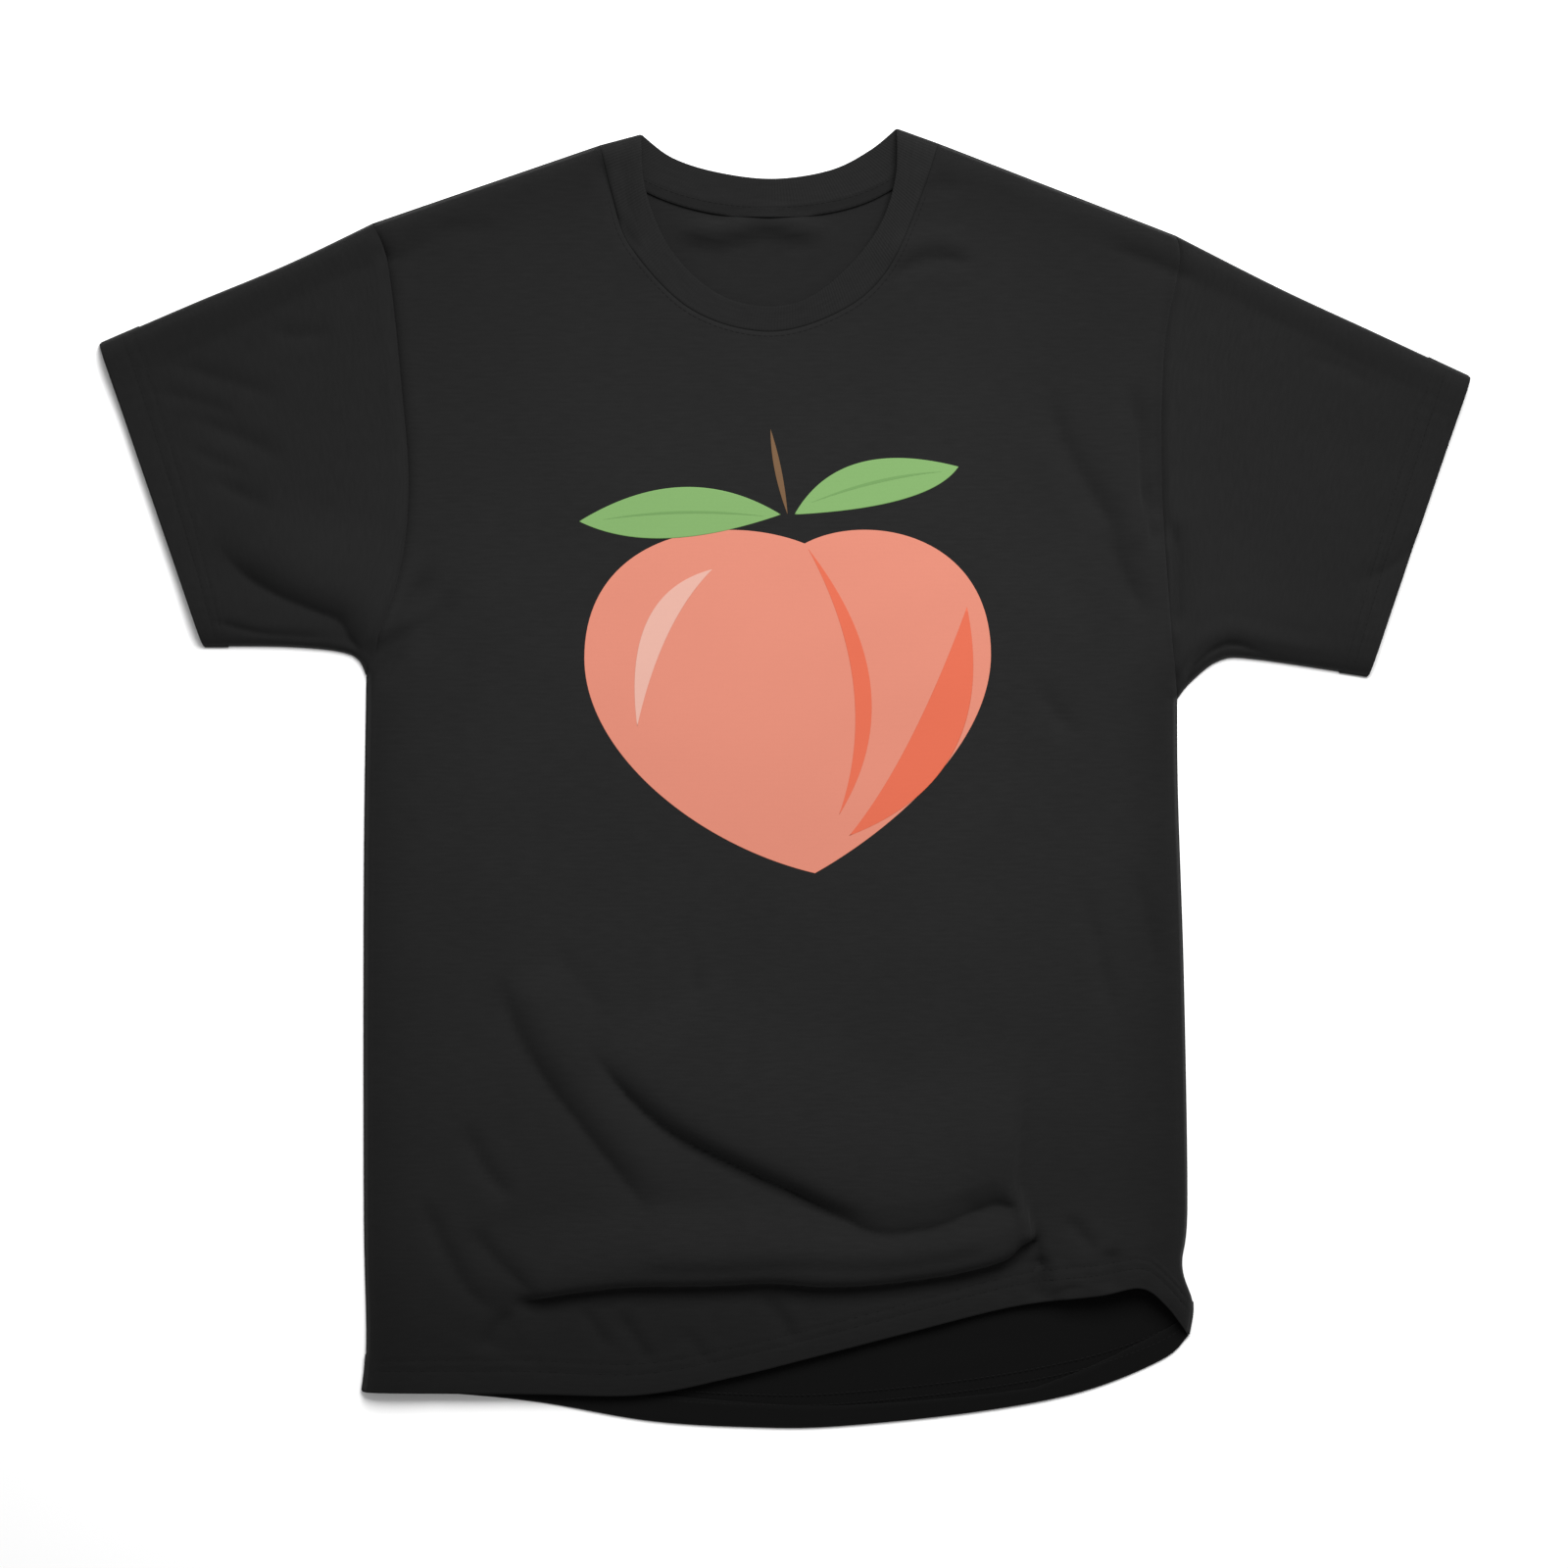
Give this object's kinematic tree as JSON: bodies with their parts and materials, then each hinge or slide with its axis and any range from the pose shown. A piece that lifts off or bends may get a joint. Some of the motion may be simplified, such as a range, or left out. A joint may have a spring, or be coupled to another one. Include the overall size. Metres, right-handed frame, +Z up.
{
  "type": "t-shirt",
  "caption": "Black short-sleeved crew-neck T-shirt laid flat, with a printed peach on the chest.",
  "frame": {"origin": "middle of the laid-out garment in plan, on the surface that it lies on", "axes": "+Z up off the surface out of the front of the shirt, +Y towards the neck, +X towards the wearer's left sleeve"},
  "size_m": [0.804, 0.7626, 0.0192],
  "materials": {
    "jersey": "matte cotton single jersey",
    "rib": "matte one-by-one cotton rib",
    "tape": "matte woven tape",
    "thread": "spun polyester sewing thread",
    "ink_peach": "matte printed film",
    "ink_blush": "matte printed film",
    "ink_highlight": "matte printed film",
    "ink_leaf": "matte printed film",
    "ink_vein": "matte printed film",
    "ink_stem": "matte printed film"
  },
  "bodies": {
    "root": {"front_body": "jersey", "back_body": "jersey", "sleeve_right": "jersey", "sleeve_left": "jersey", "neck_rib": "rib", "neck_tape": "tape", "hem_stitch_front_upper": "thread", "hem_stitch_front_lower": "thread", "hem_stitch_back_upper": "thread", "hem_stitch_back_lower": "thread", "sleeve_right_stitch_inner": "thread", "sleeve_right_stitch_outer": "thread", "sleeve_left_stitch_inner": "thread", "sleeve_left_stitch_outer": "thread", "neck_stitch_front": "thread", "print_fruit": "ink_peach", "print_blush": "ink_blush", "print_cleft": "ink_blush", "print_highlight": "ink_highlight", "print_leaf_right": "ink_leaf", "print_leaf_left": "ink_leaf", "print_vein_right": "ink_vein", "print_vein_left": "ink_vein", "print_stem": "ink_stem"}
  },
  "joints": []
}
